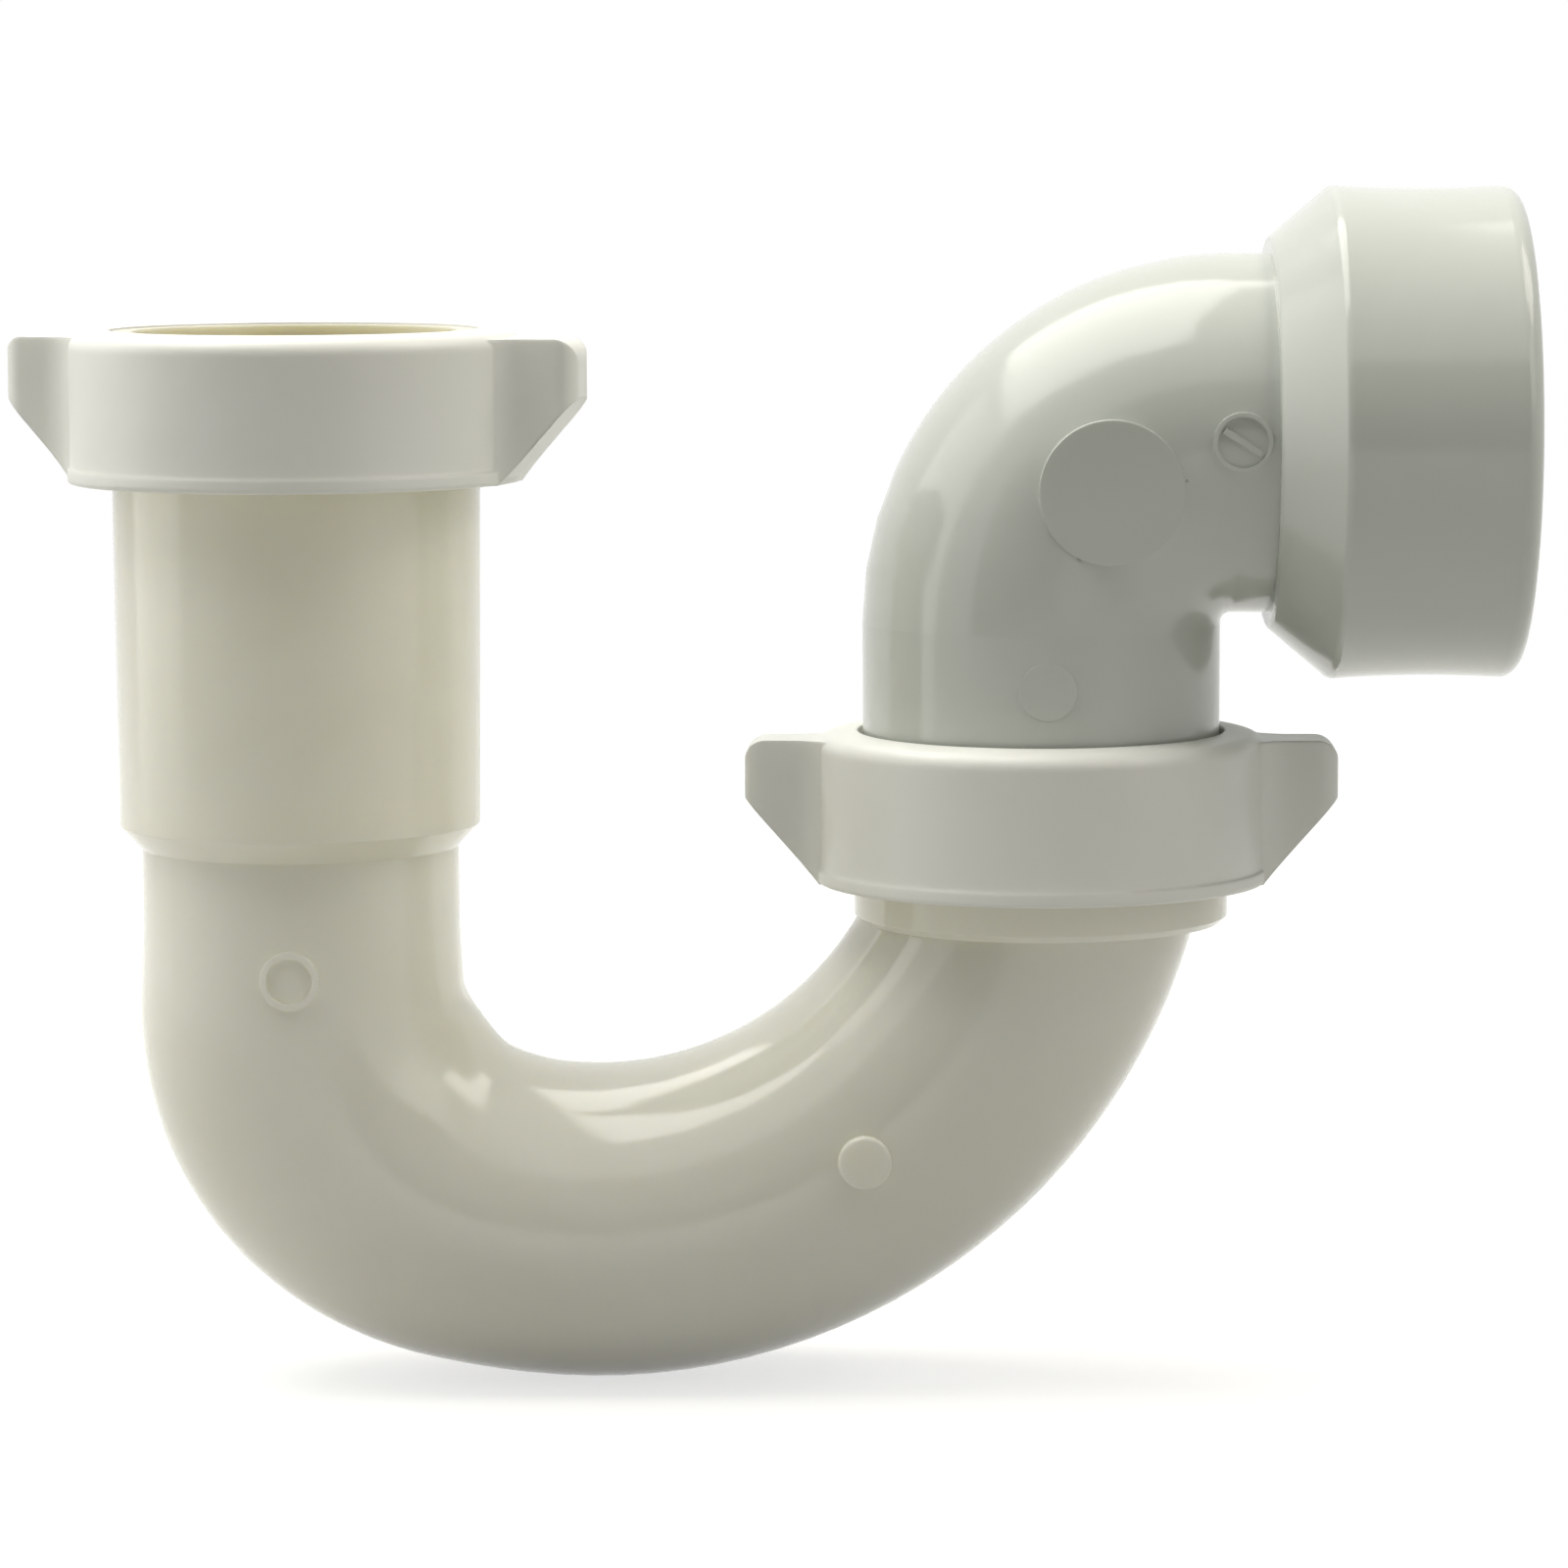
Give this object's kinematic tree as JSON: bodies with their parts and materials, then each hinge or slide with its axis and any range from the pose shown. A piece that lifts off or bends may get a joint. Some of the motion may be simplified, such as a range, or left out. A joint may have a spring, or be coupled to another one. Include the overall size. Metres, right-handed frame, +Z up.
{
  "type": "sink trap",
  "caption": "Tubular sink trap: a cream J-bend with winged slip-joint nuts over washers at its threaded ends, and a swivelling white elbow with a solvent-weld hub.",
  "frame": {"origin": "centre of the J-bend's inlet rim", "axes": "+Z up along the inlet, +X towards the outlet hub at rest, marks on the -Y side"},
  "size_m": [0.1813, 0.059, 0.1438],
  "materials": {
    "trap_pp": "cream polypropylene",
    "nut_pp": "white polypropylene",
    "washer_pe": "cream polyethylene",
    "elbow_pvc": "white PVC"
  },
  "bodies": {
    "j_bend": {"j_bend": "trap_pp"},
    "inlet_washer": {"inlet_washer": "washer_pe"},
    "inlet_nut": {"inlet_nut": "nut_pp"},
    "union_washer": {"union_washer": "washer_pe"},
    "union_nut": {"union_nut": "nut_pp"},
    "outlet_elbow": {"outlet_elbow": "elbow_pvc"}
  },
  "joints": [
    {"name": "inlet_nut_lift", "type": "slide", "parent": "j_bend", "child": "inlet_washer", "axis": [0, 0, 1], "range_m": [0, 0.01271]},
    {"name": "inlet_nut_turn", "type": "hinge", "parent": "inlet_washer", "child": "inlet_nut", "pos_m": [0, 0, 0], "axis": [0, 0, 1], "range_deg": [0, 1800]},
    {"name": "union_nut_lift", "type": "slide", "parent": "j_bend", "child": "union_washer", "axis": [0, 0, 1], "range_m": [0, 0.00636]},
    {"name": "union_nut_turn", "type": "hinge", "parent": "union_washer", "child": "union_nut", "pos_m": [0.0893, 0, -0.04845], "axis": [0, 0, 1], "range_deg": [0, 900]},
    {"name": "elbow_swivel", "type": "hinge", "parent": "j_bend", "child": "outlet_elbow", "pos_m": [0.0893, 0, -0.04845], "axis": [0, 0, 1], "range_deg": [-130, 130]}
  ],
  "couplings": [
    {"joint": "inlet_nut_lift", "follows": "inlet_nut_turn", "m_per_rad": 0.00040425},
    {"joint": "union_nut_lift", "follows": "union_nut_turn", "m_per_rad": 0.00040425}
  ]
}
